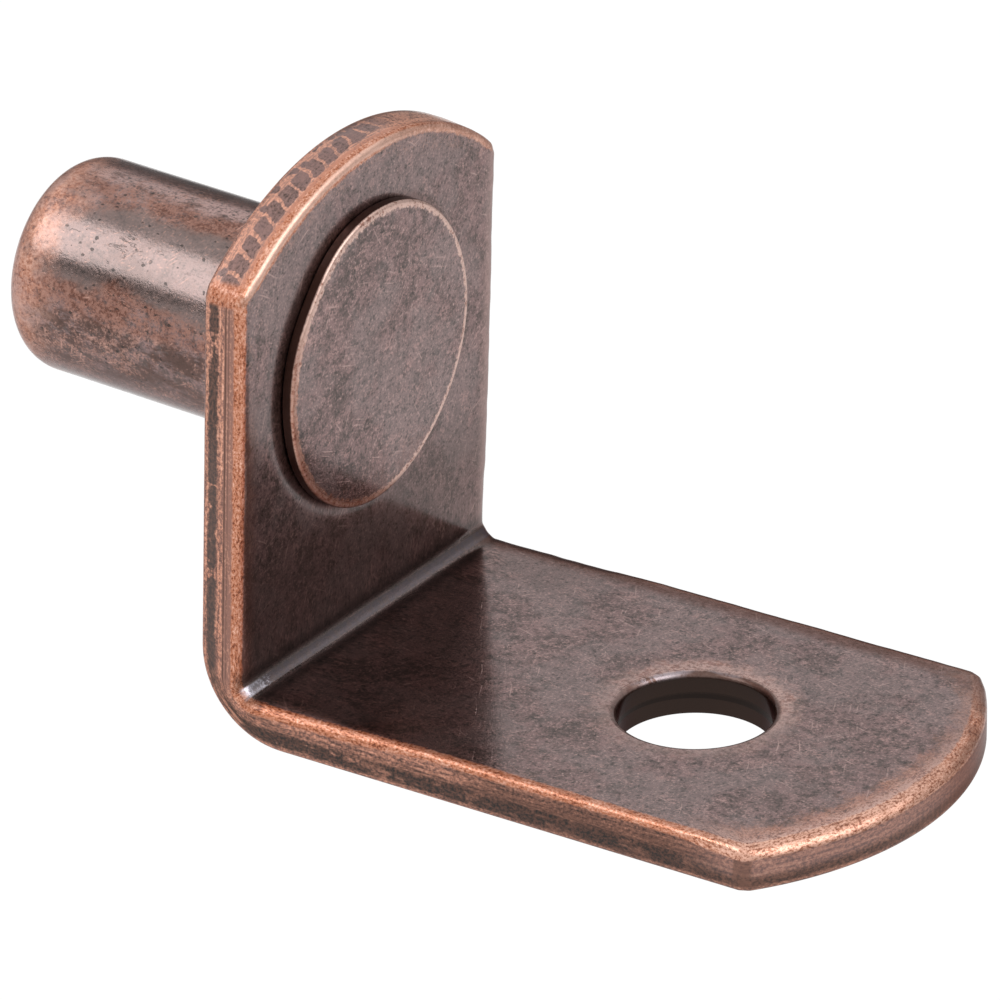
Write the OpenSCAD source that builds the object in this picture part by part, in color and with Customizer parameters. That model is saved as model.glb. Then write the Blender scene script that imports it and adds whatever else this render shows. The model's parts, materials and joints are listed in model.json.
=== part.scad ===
// Shelf support pin: a folded steel bracket with a round pin riveted through its leg.
//
// Frame: millimetres, +Z up. The origin is where the pin's axis meets the back face of the leg,
// so the side panel that the pin plugs into is the YZ plane. The pin runs along -X, the arm that
// carries the shelf reaches along +X, and the two halves either side of the XZ plane are alike.

/* [Strip] */
// Width of the steel strip
strip_w = 12.7; // [11:0.1:16]
// Thickness of the steel strip
strip_t = 1.3; // [1:0.05:2]
// Width of the rolled edges on the leg's front and the arm's top, where the punch went in
roll_r = 0.25; // [0.1:0.05:0.35]
// Width of the tumbled edges on the leg's back and the arm's underside
tumble_r = 0.12; // [0.05:0.01:0.3]
// Width of the flat worn on each corner of the strip's two ends
corner_flat = 0.35; // [0.1:0.05:1]

/* [Fold] */
// Angle between the leg and the arm, a little under square so that the arm settles level under load
fold_angle = 87.3; // [80:0.1:95]
// Radius of the fold on its inner side
fold_inner_r = 0.45; // [0.2:0.05:1]
// Radius of the fold on its outer side; the strip is drawn thinner round it
fold_outer_r = 2.6; // [1.5:0.1:2.8]

/* [Leg] */
// Height of the leg, from the corner where its back would meet the arm's underside to its crown
leg_h = 16.3; // [16:0.1:24]
// Radius of the arc that ends the leg
leg_arc_r = 9.3; // [9:0.1:14]

/* [Arm] */
// Length of the arm, from the same corner to its tip
arm_l = 20.45; // [18:0.05:40]
// Radius of the arc that ends the arm
arm_arc_r = 9.8; // [9:0.1:14]
// Diameter of the screw hole in the arm
screw_d = 4.6; // [3:0.1:6]
// Distance from the corner to the screw hole's centre, along the arm
screw_at = 12.55; // [9:0.05:13.5]
// Width of the rounding left on the hole's lower mouth, where the punch came out
screw_low_r = 0.05; // [0.02:0.01:0.25]

/* [Pin] */
// Diameter of the pin
pin_d = 6.35; // [5:0.05:7]
// Length of the pin behind the leg
pin_l = 9.5; // [5:0.1:16]
// Radius of the rounding at the pin's free end
pin_end_r = 1.05; // [0.2:0.05:1.8]
// Height of the pin's axis above the corner, along the leg
pin_at = 9.65; // [8.5:0.05:10]

/* [Rivet] */
// Diameter of the tenon that is turned on the pin and passes through the leg
tenon_d = 4.4; // [2.5:0.1:4.8]
// Gap all round the tenon in its hole
tenon_gap = 0.05; // [0:0.01:0.1]
// Diameter of the flat head that the tenon's end is hammered into
head_d = 9.05; // [7:0.05:11]
// Thickness of the head
head_t = 0.4; // [0.3:0.05:1]
// Radius of the rounding at the head's rim
head_rim_r = 0.12; // [0.05:0.01:0.25]
// How far the head has spread upwards off the pin's axis
head_rise = 0.12; // [0:0.02:0.3]

/* [Hidden] */
$fn = 96;
clear = 0.15; // how far a cutter, or the blank it trims, stands clear of the cut
roundness = 1.3; // how far in an edge's arc is centred, as a multiple of the width it rounds
fold_steps = 14; // straight runs that make up the fold
edge_steps = 5; // straight runs that make up a long edge's rounding
steel = [0.45, 0.32, 0.28];

half_w = strip_w / 2;
// Unit vectors in the XZ plane: along the arm, and square to it through its thickness.
arm_dir = [sin(fold_angle), cos(fold_angle)];
arm_up = [-cos(fold_angle), sin(fold_angle)];
// Distances from the corner along either flat to where each radius of the fold ends.
outer_end = fold_outer_r / tan(fold_angle / 2);
inner_end = (strip_t + fold_inner_r) / tan(fold_angle / 2);
// Centres of the fold's two radii, in the XZ plane.
outer_centre = [fold_outer_r, outer_end];
inner_centre = [strip_t + fold_inner_r, inner_end];

// An edge's rounding is an arc flatter than a quarter circle, as a rolled or tumbled edge is. It
// meets each face at edge_lift degrees. Its centre is edge_in(r) from both faces.
edge_lift = atan((roundness - 1) / roundness);
function edge_in(r) = roundness * r;
function edge_radius(r) = norm([edge_in(r), edge_in(r) - r]);

// The strip is a skin over cross-sections. A station is where one of them lies, in the XZ plane: a
// point on the outer face, a point on the inner face, and the unit vector that points out of the
// metal at the outer face. There is one at each end of the strip, and a row of them round the fold.
fold_turns = [for (i = [0:fold_steps]) 180 + (180 - fold_angle) * i / fold_steps];
stations = concat(
    [[[0, leg_h + clear], [strip_t, leg_h + clear], [-1, 0]]],
    [for (a = fold_turns) [outer_centre + fold_outer_r * [cos(a), sin(a)],
                           inner_centre + fold_inner_r * [cos(a), sin(a)], [cos(a), sin(a)]]],
    [[(arm_l + clear) * arm_dir, (arm_l + clear) * arm_dir + strip_t * arm_up, -arm_up]]);

// A cross-section is a ring of points, each given as the face it is measured from (0 outer, 1 inner),
// its distance across the strip and its depth below that face. These are the points of one rounded
// edge, from the face to the side, and then the half ring on the +Y side and the whole ring.
function edge_points(face, r) = [
    for (i = [0:edge_steps]) let (a = edge_lift + (90 - 2 * edge_lift) * i / edge_steps)
        [face, half_w - edge_in(r) + edge_radius(r) * sin(a), edge_in(r) - edge_radius(r) * cos(a)]];
function reversed(list) = [for (i = [len(list) - 1:-1:0]) list[i]];
half_ring = concat(edge_points(0, tumble_r), reversed(edge_points(1, roll_r)));
ring = concat(half_ring, [for (p = reversed(half_ring)) [p[0], -p[1], p[2]]]);

// The ring's points at one station.
function section(st) = [
    for (p = ring) let (xz = st[p[0]] + (2 * p[0] - 1) * p[2] * st[2]) [xz[0], p[1], xz[1]]];

// Skins a list of closed sections that all have the same number of points.
module skin(sections) {
    n = len(sections[0]);
    last = len(sections) - 1;
    polyhedron(
        points = [for (s = sections, p = s) p],
        faces = concat(
            [[for (i = [0:n - 1]) i]],
            [for (k = [0:last - 1], i = [0:n - 1])
                [k * n + i, (k + 1) * n + i, (k + 1) * n + (i + 1) % n, k * n + (i + 1) % n]],
            [[for (i = [n - 1:-1:0]) last * n + i]]));
}

// A flat is drawn lying down, with X along it from the corner, Y across it and Z through it from
// its outer face. These stand it up as the leg and lay it out as the arm.
module as_leg() rotate([0, -90, 0]) mirror([0, 0, 1]) children();
module as_arm() rotate([0, fold_angle - 90, 0]) children();

// Turns what is drawn on a flat's outer face over to its inner face.
module from_inside() translate([0, 0, strip_t]) mirror([0, 0, 1]) children();

// Section of what comes off an edge rounded over a width of r. The sharp edge is at the origin, with
// the metal on its -X side and its +Y side.
module edge_section(r) {
    difference() {
        translate([-edge_in(r), -clear]) square(edge_in(r) + clear);
        translate([-edge_in(r), edge_in(r)]) circle(edge_radius(r));
    }
}

// What the punch takes off to end a flat at length l in an arc: a ring whose inner wall leaves a
// rounded rim, and a flat at each corner.
module end_waste(l, arc_r) {
    corner_angle = asin(half_w / arc_r);
    flat_angle = (90 + corner_angle) / 2;
    translate([l - arc_r, 0, 0]) rotate(-80) rotate_extrude(angle = 160) translate([arc_r, 0]) {
        translate([0, -clear]) square([half_w, strip_t + 2 * clear]);
        edge_section(tumble_r);
        translate([0, strip_t]) mirror([0, 1]) edge_section(roll_r);
    }
    for (s = [-1, 1])
        translate([l - arc_r + arc_r * cos(corner_angle), s * half_w, 0]) rotate(s * flat_angle)
            translate([half_w / 2 - corner_flat / 2 / tan(flat_angle), 0, strip_t / 2])
                cube([half_w, half_w, strip_t + 2 * clear], center = true);
}

// A bore through a flat, x from the corner.
module bore(x, d) translate([x, 0, -clear]) cylinder(d = d, h = strip_t + 2 * clear);

// What rounds the mouth of a bore on a flat's outer face, over a width of r.
module mouth(x, d, r) {
    translate([x, 0, 0]) rotate_extrude() translate([d / 2, 0]) mirror([1, 0]) edge_section(r);
}

module bracket() {
    color(steel) translate([0, 0, -pin_at]) difference() {
        skin([for (st = stations) section(st)]);
        as_leg() {
            end_waste(leg_h, leg_arc_r);
            bore(pin_at, tenon_d + 2 * tenon_gap);
        }
        as_arm() {
            end_waste(arm_l, arm_arc_r);
            bore(screw_at, screw_d);
            mouth(screw_at, screw_d, screw_low_r);
            from_inside() mouth(screw_at, screw_d, roll_r);
        }
    }
}

// Half section of a round bar of diameter d and height h, standing on X, rounded at its top.
module bar_section(d, h, r) {
    square([d / 2, h - r]);
    square([d / 2 - r, h]);
    translate([d / 2 - r, h - r]) intersection() {
        circle(r);
        square(r);
    }
}

// The pin seats on the leg's back, its tenon fills the leg and the head closes on the leg's front.
module pin() {
    color(steel) {
        rotate([0, -90, 0]) rotate_extrude() bar_section(pin_d, pin_l, pin_end_r);
        rotate([0, 90, 0]) cylinder(d = tenon_d, h = strip_t + head_t / 2);
        translate([strip_t, 0, head_rise]) rotate([0, 90, 0])
            rotate_extrude() bar_section(head_d, head_t, head_rim_r);
    }
}

bracket();
pin();
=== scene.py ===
"""Looks of a shelf support pin: a copper-plated steel bracket and its riveted pin, darkened to
brown-black and rubbed back to copper wherever the parts touch in the tumbling barrel.

Lengths are millimetres in the part's own frame: the pin runs along -X, the leg stands in the YZ
plane, the arm reaches along +X. A surface is worked out whole, as arrays, and made a mesh once."""
import json
import math
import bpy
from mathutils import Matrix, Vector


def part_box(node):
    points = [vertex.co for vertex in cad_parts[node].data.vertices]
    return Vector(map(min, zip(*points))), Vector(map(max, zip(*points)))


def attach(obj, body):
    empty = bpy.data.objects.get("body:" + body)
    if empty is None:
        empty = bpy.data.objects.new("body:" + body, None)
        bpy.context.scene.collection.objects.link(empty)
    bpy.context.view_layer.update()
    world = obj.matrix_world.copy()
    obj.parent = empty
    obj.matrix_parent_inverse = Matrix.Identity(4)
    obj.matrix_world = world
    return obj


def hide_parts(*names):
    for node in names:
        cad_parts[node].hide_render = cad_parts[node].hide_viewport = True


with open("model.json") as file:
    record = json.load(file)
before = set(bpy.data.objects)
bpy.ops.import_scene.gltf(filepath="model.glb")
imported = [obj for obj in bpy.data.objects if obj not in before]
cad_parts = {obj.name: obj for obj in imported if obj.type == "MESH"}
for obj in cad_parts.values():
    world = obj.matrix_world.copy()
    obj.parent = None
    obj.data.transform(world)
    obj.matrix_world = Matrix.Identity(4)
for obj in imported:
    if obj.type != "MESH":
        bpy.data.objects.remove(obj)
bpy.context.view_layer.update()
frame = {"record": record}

from types import SimpleNamespace

import bmesh
import bpy
import numpy as np
from mathutils import Matrix, Vector

MM = 0.001  # a millimetre in the scene's metres

# --- Sizes taken from the frame -------------------------------------------------------------------
bracket_low, bracket_high = (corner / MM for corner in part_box("bracket"))
pin_low, pin_high = (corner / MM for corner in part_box("pin"))
mounts = {mount["name"]: mount for mount in frame["record"]["mounts"]}
screw_mount = mounts["screw_hole"]

half_w = bracket_high.y                              # half the width of the strip
pin_r = mounts["pin"]["dims"]["r_mm"]
pin_l = -pin_low.x
head_front = pin_high.x
head_r = (pin_high.z - pin_low.z) / 2
head_rise = pin_high.z - head_r                      # the head spread this far above the pin's axis
screw_r = screw_mount["dims"]["r_mm"]
screw_place = np.array(screw_mount["pos_m"])[[0, 2]] / MM
arm_up = -np.array(screw_mount["axis"])[[0, 2]]      # square to the arm, out of its top, in XZ
arm_dir = np.array([arm_up[1], -arm_up[0]])          # along the arm, in XZ

# --- Sizes of the strip, the fold and the pin -----------------------------------------------------
strip_t = 1.3            # thickness of the strip
corner_z = -9.65         # height at which the leg's back would meet the arm's underside
fold_outer_r = 2.6
fold_inner_r = 0.45
leg_arc_r = 9.3
arm_arc_r = 9.8
corner_flat = 0.35       # width of the flat on each corner of the strip's ends
corner_soft = 0.06       # how far the flat's own corners are rubbed round, either side
roll_in = 0.40           # how far the rolled edge reaches into the leg's front and the arm's top
roll_down = 0.34         # and how far down the side
tumble = 0.15            # width and depth of the tumbled edge on the leg's back and the arm's underside
shoulder = 0.3           # how much further the roll's gentle shoulder reaches, as a share of roll_in
mouth_close = 0.07       # how much the rolled mouth has closed the screw hole, all round
mouth_roll = 0.20        # rolled upper mouth of the screw hole
mouth_low = 0.04         # and its lower mouth, where the punch came out
tenon_r = 2.2
tenon_gap = 0.05
head_rim_r = 0.11        # rounding of the head's rim in front
head_back_r = 0.05       # and behind, where it closes on the leg
head_dome = 0.04         # how far the head's face falls away towards its rim
head_dimple = 0.05       # how deep the riveting sank the leg's front round the head
pin_end_r = 1.05
seam = 3.0               # distance from the corner at which the fold's surface joins either flat's
fold_clear = 0.004       # how far the fold's outer surface is kept within the solid's
sewn_within = 0.001      # points nearer than this are one point of a mesh

corner = np.array([0.0, corner_z])
leg_h = bracket_high.z - corner_z
arm_l = (bracket_high.x - corner[0]) / arm_dir[0]    # its tip is the bracket's furthest point along X
screw_at = (screw_place - corner) @ arm_dir          # both from the corner
fold_angle = math.atan2(arm_dir[0], arm_dir[1])      # between the leg and the arm


# --- Arrays that shapes are made of ---------------------------------------------------------------
def ripple(where, pitch, seed):
    """A wandering wave from -1 to 1: the mean of three sines, at 1, 1.7 and 0.43 times the pitch's
    rate and at phases drawn from the seed."""
    phases = np.random.default_rng(seed).uniform(0, 2 * np.pi, 3)
    turns = 2 * np.pi * np.asarray(where) / pitch
    waves = [np.sin(rate * turns + phase) for rate, phase in zip((1, 1.7, 0.43), phases)]
    return sum(waves) / len(waves)


def lerp(a, b, share):
    """a + (b - a) * share."""
    return a + (b - a) * share


def eased(count, crowding):
    """Shares from 0 to 1 that crowd towards both ends: a straight run mixed with half a cosine."""
    even = np.linspace(0, 1, count)
    return lerp(even, (1 - np.cos(np.pi * even)) / 2, crowding)


def distances(points):
    """Distance walked along a line of points up to each of them."""
    return np.concatenate([[0], np.cumsum(np.linalg.norm(np.diff(points, axis=0), axis=1))])


def stacked(*parts):
    """Numbers side by side as vectors, each part spread to the shape that they share."""
    return np.stack(np.broadcast_arrays(*parts), -1)


def put(name, data):
    """Puts an object with that data in the scene."""
    made = bpy.data.objects.new(name, data)
    bpy.context.scene.collection.objects.link(made)
    return made


class Skin:
    """Grids of points that are sewn into one closed mesh. Every point carries two patterns' places:
    `edge` is (run along the strip's edge, fall over it, place across the strip), where fall is less
    than 0 on the inner face, 0 to strip_t down the side and more on the outer face; `sheet` is
    (path along the strip, place across it, depth below the inner face)."""

    def __init__(self):
        self.points, self.edges, self.sheets, self.faces = [], [], [], []
        self.count = 0

    def add(self, points, edge, sheet, closed=False):
        """Adds a grid of rows by columns; a closed one joins its last column to its first."""
        rows, columns = points.shape[:2]
        index = self.count + np.arange(rows * columns).reshape(rows, columns)
        if closed:
            index = np.concatenate([index, index[:, :1]], axis=1)
        quads = np.stack([index[:-1, :-1], index[1:, :-1], index[1:, 1:], index[:-1, 1:]], axis=-1)
        self.points.append(points.reshape(-1, 3))
        self.edges.append(np.broadcast_to(edge, points.shape).reshape(-1, 3))
        self.sheets.append(np.broadcast_to(sheet, points.shape).reshape(-1, 3))
        self.faces.append(quads.reshape(-1, 4))
        self.count += rows * columns

    def mesh(self, name):
        """Sews the grids where they meet, turns every face outwards and shades them smooth."""
        data = bpy.data.meshes.new(name)
        points = np.concatenate(self.points) * MM
        data.from_pydata(points, [], np.concatenate(self.faces))
        for key, values in (("edge", self.edges), ("sheet", self.sheets)):
            layer = data.attributes.new(key, "FLOAT_VECTOR", "POINT")
            layer.data.foreach_set("vector", np.concatenate(values).astype(np.float32).ravel())
        sewn = bmesh.new()
        sewn.from_mesh(data)
        bmesh.ops.remove_doubles(sewn, verts=sewn.verts, dist=sewn_within * MM)
        bmesh.ops.recalc_face_normals(sewn, faces=sewn.faces)
        sewn.to_mesh(data)
        sewn.free()
        data.polygons.foreach_set("use_smooth", np.ones(len(data.polygons), bool))
        return put(name, data)


# --- The strip's edge -----------------------------------------------------------------------------
# One rounded edge from the inner face to the outer one. Each point is a share of the rolled inset
# and depth, a share of the tumbled inset and depth, and how far down the side wall it lies.
ROLL_STEPS, WALL_STEPS, TUMBLE_STEPS = 14, 12, 6
_roll = np.linspace(0, np.pi / 2, ROLL_STEPS + 1)
_wall = np.linspace(0, 1, WALL_STEPS + 1)[1:-1]
_tumble = np.linspace(np.pi / 2, 0, TUMBLE_STEPS + 1)
_inset = 1 - np.sin(_roll)
rolled_inset = np.concatenate([_inset * (1 + shoulder * _inset ** 2), 0 * _wall, 0 * _tumble])
rolled_depth = np.concatenate([1 - np.cos(_roll), 0 * _wall + 1, 0 * _tumble + 1])
tumbled_inset = np.concatenate([0 * _roll, 0 * _wall, 1 - np.sin(_tumble)])
tumbled_depth = np.concatenate([0 * _roll + 1, 0 * _wall + 1, 1 - np.cos(_tumble)])
wall_share = np.concatenate([0 * _roll, _wall, 0 * _tumble + 1])

# How wide the rolled edge is for each place along it, as a share of roll_in and roll_down. The leg
# runs down from 0, the fold and the arm up from 0: a crisp crown, a soft fold, a crisp arm, a soft tip.
WEAR_RUNS = (-11.8, -10.8, -3.0, 0.0, 5.0, 8.5, 18.4, 19.6)
WEAR_SHARES = (0.55, 0.90, 0.90, 1.20, 1.20, 0.50, 0.50, 1.15)
# How far the top of the side leans in from the true edge at the same places: the punch drew it in
# along the crown and the arm. The lean is gone lean_reach of the way down the side.
LEANS = (0.16, 0.03, 0.0, 0.0, 0.04, 0.13, 0.13, 0.0)
lean_reach = 0.65
lean_share = np.clip(1 - wall_share / lean_reach, 0, 1)


def edge_wear(run, across):
    """The rolled edge's share at its place along the run, times 1 and a slow and a quick ripple."""
    wander = 0.12 * ripple(run + 0.7 * across, 5.0, 11) + 0.06 * ripple(run - 0.4 * across, 1.3, 12)
    return np.interp(run, WEAR_RUNS, WEAR_SHARES) * (1 + wander)


def edge_insets(run, across):
    """Inset from the true edge of every point of the section, for each place along the run: the
    rolled edge's, the side's lean, which weakens over the far half of the crown, and the tumbled's."""
    far_share = lerp(1.0, np.interp(across, (-1, 2), (1, 0.3)), run < 0)
    lean = lean_share[:, None] * np.interp(run, WEAR_RUNS, LEANS) * far_share
    rolled = rolled_inset[:, None] * roll_in * edge_wear(run, across)
    return rolled + lean + tumbled_inset[:, None] * tumble


def edge_falls(insets, depths):
    """Depth less inset down to the middle of the side, and depth plus inset below it."""
    return depths + np.where(wall_share[:, None] < 0.5, -insets, insets)


def edge_depths(run, across):
    """Depth below the inner face of every point of the section, for each place along the run: the
    rolled edge's above, the tumbled edge's below, and between them their mix down the side."""
    upper = rolled_depth[:, None] * roll_down * edge_wear(run, across)
    lower = (strip_t - tumbled_depth * tumble)[:, None]
    return lerp(upper, lower, wall_share[:, None])


# --- The two flats --------------------------------------------------------------------------------
SIDE_STEPS, CORNER_STEPS, ARC_STEPS, ACROSS_STEPS, RING_STEPS = 64, 4, 44, 44, 44
HALF_COUNTS = [SIDE_STEPS, CORNER_STEPS, 3, CORNER_STEPS, ARC_STEPS]    # side, corner, flat, corner, arc
soft_within = 0.75       # the corners are no longer rubbed round this far in from the edge


class Flat:
    """One flat of the strip, ended by an arc with its corners taken off, with a round hole in it.
    Its outline is worked out for any inset, and every point of it keeps its share of its stretch."""

    def __init__(self, length, arc_r, hole_at, hole_r):
        self.arc_r, self.arc_at = arc_r, length - arc_r
        self.hole_at, self.hole_r = hole_at, hole_r
        turn = math.asin(half_w / arc_r)
        self.flat_turn = (math.pi / 2 + turn) / 2
        reach = (self.arc_at + arc_r * math.cos(turn)) * math.cos(self.flat_turn)
        reach += half_w * math.sin(self.flat_turn)
        self.flat_reach = reach - corner_flat / 2 / math.tan(self.flat_turn)

    def half_outline(self, inset):
        """Points from the seam along the +Y side, over the corner's flat and round to the tip's
        middle. inset holds one inset for each of them. The side and the flat are straight lines,
        their meetings are short parabolas, and the end is an arc."""
        side, first, flat, second, arc = np.split(inset, np.cumsum(HALF_COUNTS)[:-1])
        turn = self.flat_turn

        def softness(i):
            return corner_soft * np.clip(1 - i / soft_within, 0, 1)[:, None]

        def side_corner(i):
            x = (self.flat_reach - i - (half_w - i) * math.sin(turn)) / math.cos(turn)
            return np.stack([x, half_w - i], -1)

        def arc_turn(i):
            share = (self.flat_reach - i - self.arc_at * math.cos(turn)) / (self.arc_r - i)
            return turn - np.arccos(share)

        def on_arc(i, a):
            r = self.arc_r - i
            return np.stack([self.arc_at + r * np.cos(a), r * np.sin(a)], -1)

        def parabola(start, middle, end, share):
            s = share[:, None]
            return (1 - s) ** 2 * start + 2 * s * (1 - s) * middle + s ** 2 * end

        along_flat = np.array([math.sin(turn), -math.cos(turn)])
        back = np.array([1, 0])
        share = eased(len(side), 0.3)[:, None]
        run_in = lerp(stacked(seam, half_w - side), side_corner(side) - softness(side) * back, share)
        soft = np.linspace(0, 1, CORNER_STEPS + 2)[1:-1]
        top = side_corner(first)
        round_by = softness(first)
        over_first = parabola(top - round_by * back, top, top + round_by * along_flat, soft)
        low = on_arc(flat, arc_turn(flat))
        start = side_corner(flat) + softness(flat) * along_flat
        on_flat = lerp(start, low - softness(flat) * along_flat, np.linspace(0, 1, len(flat))[:, None])
        low = on_arc(second, arc_turn(second))
        past = on_arc(second, arc_turn(second) - softness(second)[:, 0] / self.arc_r)
        over_second = parabola(low - softness(second) * along_flat, low, past, soft)
        start_turn = arc_turn(arc) - softness(arc)[:, 0] / self.arc_r
        round_end = on_arc(arc, start_turn * (1 - np.linspace(0, 1, len(arc))))
        return np.concatenate([run_in, over_first, on_flat, over_second, round_end])

    def outline(self, inset):
        """The whole free outline, +Y side first: the half outline and its mirror image."""
        half = len(inset) // 2
        near = self.half_outline(inset[:half + 1])
        far = self.half_outline(inset[half:][::-1])[::-1] * [1, -1]
        return np.concatenate([near, far[1:]])

    def distance_in(self, points):
        """Distance of points of the flat from its free outline, the corner's flats left out."""
        past = np.maximum(points[..., 0] - self.arc_at, 0)
        return np.minimum(half_w - np.abs(points[..., 1]), self.arc_r - np.hypot(past, points[..., 1]))


def flat_surfaces(skin, flat, place, path, run_sign, run_start, mouth, low_mouth, dimple):
    """Adds one flat's edge, its two faces and its hole. The faces are rings that grow from the
    hole's rim to the outline: rim point + share * (outline point - rim point)."""
    free = 2 * sum(HALF_COUNTS) - 1
    true_edge = flat.outline(np.zeros(free))
    run = distances(true_edge)
    run = run_start + run_sign * np.minimum(run, run[-1] - run)
    across = true_edge[:, 1]

    insets = edge_insets(run, across)
    depths = edge_depths(run, across)
    outlines = np.stack([flat.outline(inset) for inset in insets])
    edge = stacked(run, edge_falls(insets, depths), outlines[..., 1])
    sheet = stacked(path(outlines[..., 0]), outlines[..., 1], depths)
    skin.add(place(outlines, depths), edge, sheet)

    centre = np.array([flat.hole_at, 0])
    seam_across = np.linspace(-1, 1, ACROSS_STEPS + 1)[1:-1]
    middle_loop = np.concatenate([true_edge, stacked(seam, half_w * seam_across)])
    bearing = np.arctan2(*(middle_loop - centre).T[::-1])
    compass = np.stack([np.cos(bearing), np.sin(bearing)], -1)
    loop_run = np.concatenate([run, np.full(len(seam_across), run_start)])
    faces = (outlines[0], mouth, 0.0, -1), (outlines[-1], low_mouth, strip_t, 1)
    for outer, mouth_r, depth, grow in faces:
        line = lerp(outer[-1, 1], outer[0, 1], (seam_across + 1) / 2)
        loop = np.concatenate([outer, stacked(seam, line)])
        rim = centre + (flat.hole_r + mouth_r) * compass
        rings = lerp(rim, loop, eased(RING_STEPS + 1, 0.5)[:, None, None])
        depths = np.full(rings.shape[:2], depth)
        if dimple and grow < 0:
            depths = depths + dimple(rings)
        fall = depth + grow * flat.distance_in(rings)
        edge = stacked(loop_run, fall, rings[..., 1])
        sheet = stacked(path(rings[..., 0]), rings[..., 1], depths)
        skin.add(place(rings, depths), edge, sheet, closed=True)
        if grow < 0:
            inner_rim_depth = depths[0]

    # The hole's wall, by the same section as the outline's edge, with its insets outwards.
    out = rolled_inset * mouth + tumbled_inset * low_mouth
    walls = centre + (flat.hole_r + out)[:, None, None] * compass
    depths = lerp(rolled_depth * mouth, strip_t - tumbled_depth * low_mouth, wall_share)[:, None]
    depths = depths + (1 - wall_share)[:, None] * inner_rim_depth
    fall = lerp(-flat.distance_in(walls), strip_t + flat.distance_in(walls), wall_share[:, None])
    edge = stacked(loop_run, fall, walls[..., 1])
    sheet = stacked(path(walls[..., 0]), walls[..., 1], depths)
    skin.add(place(walls, depths), edge, sheet, closed=True)


# --- The fold -------------------------------------------------------------------------------------
FOLD_STEPS, LEAD_STEPS = 40, 8


def fold_stations():
    """Points on the outer and inner faces and the direction out of the metal, in XZ from the corner:
    straight from the leg's seam, round two radii whose centres lie on one line, straight to the arm's."""
    outer_end = fold_outer_r / math.tan(fold_angle / 2)
    inner_end = (strip_t + fold_inner_r) / math.tan(fold_angle / 2)
    turns = math.pi + (math.pi - fold_angle) * np.linspace(0, 1, FOLD_STEPS + 1)
    out = np.stack([np.cos(turns), np.sin(turns)], -1)
    share = np.linspace(0, 1, FOLD_STEPS + 1)[:, None]
    inside_by = fold_clear * np.minimum(1, 40 * share * (1 - share))    # none at either end
    outer = np.array([fold_outer_r, outer_end]) + (fold_outer_r - inside_by) * out
    inner = np.array([strip_t + fold_inner_r, inner_end]) + fold_inner_r * out
    lead = np.linspace(0, 1, LEAD_STEPS + 1)[:-1, None]
    leg_outer = lerp(np.array([0, seam]), outer[0], lead)
    leg_inner = lerp(np.array([strip_t, seam]), inner[0], lead)
    arm_outer = lerp(seam * arm_dir, outer[-1], lead)[::-1]
    arm_inner = lerp(seam * arm_dir + strip_t * arm_up, inner[-1], lead)[::-1]
    outs = [np.repeat(out[:1], len(lead), 0), out, np.repeat(out[-1:], len(lead), 0)]
    return (np.concatenate([leg_outer, outer, arm_outer]), np.concatenate([leg_inner, inner, arm_inner]),
            np.concatenate(outs))


def fold_surfaces(skin, outer, inner, out, path):
    """Adds the fold: the edge's section and both faces' cross lines, carried through the stations."""
    half = np.linspace(-1, 1, ACROSS_STEPS + 1)
    edges = {}
    for side in (1, -1):
        insets = edge_insets(path, side * half_w)
        depths = edge_depths(path, side * half_w)
        rolled = rolled_depth[:, None] * roll_down * edge_wear(path, side * half_w)
        upper = inner + rolled[..., None] * out
        lower = outer - (tumbled_depth * tumble)[:, None, None] * out
        xz = lerp(upper, lower, wall_share[:, None, None]) + corner
        y = side * (half_w - insets)
        edge = stacked(path, edge_falls(insets, depths), y)
        skin.add(stacked(xz[..., 0], y, xz[..., 1]), edge, stacked(path, y, depths))
        edges[side] = y
    for row, line, depth, grow in ((0, inner, 0.0, -1), (-1, outer, strip_t, 1)):
        y = lerp(edges[-1][row], edges[1][row], (half[:, None] + 1) / 2)
        xz = line + corner
        fall = depth + grow * (half_w - np.abs(y))
        skin.add(stacked(xz[:, 0], y, xz[:, 1]), stacked(path, fall, y), stacked(path, y, depth))


def riveting_dimple(points):
    """Depth by which the hammered head sank the leg's front: a bell across the head's rim, narrower
    outside it than inside, and five times as deep below the head as above it."""
    up, aside = points[..., 0] + corner_z - head_rise, points[..., 1]
    away = np.hypot(up, aside) - head_r
    width = np.where(away > 0, 0.28, 1.2)
    low = -(0.9 * up + 0.3 * aside) / head_r
    return head_dimple * lerp(0.2, 1.0, np.clip(low, 0, 1)) * np.exp(-(away / width) ** 2)


def make_bracket():
    """The folded strip: the leg's surfaces, the fold's and the arm's, sewn at two seams."""
    skin = Skin()
    outer, inner, out = fold_stations()
    path = distances((outer + inner) / 2)
    fold_surfaces(skin, outer, inner, out, path)

    def on_leg(points, depths):
        return stacked(strip_t - depths, points[..., 1], points[..., 0] + corner_z)

    def on_arm(points, depths):
        xz = corner + points[..., :1] * arm_dir + (strip_t - depths)[..., None] * arm_up
        return stacked(xz[..., 0], points[..., 1], xz[..., 1])

    leg = Flat(leg_h, leg_arc_r, -corner_z, tenon_r + tenon_gap)
    arm = Flat(arm_l, arm_arc_r, screw_at, screw_r - mouth_close)
    end = path[-1]
    flat_surfaces(skin, leg, on_leg, lambda x: seam - x, -1, 0.0, tenon_gap, tenon_gap, riveting_dimple)
    flat_surfaces(skin, arm, on_arm, lambda x: end + x - seam, 1, end, mouth_roll, mouth_low, None)
    return skin.mesh("folded_bracket"), end


# --- The pin --------------------------------------------------------------------------------------
TURN_STEPS, FACE_STEPS = 256, 40
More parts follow.
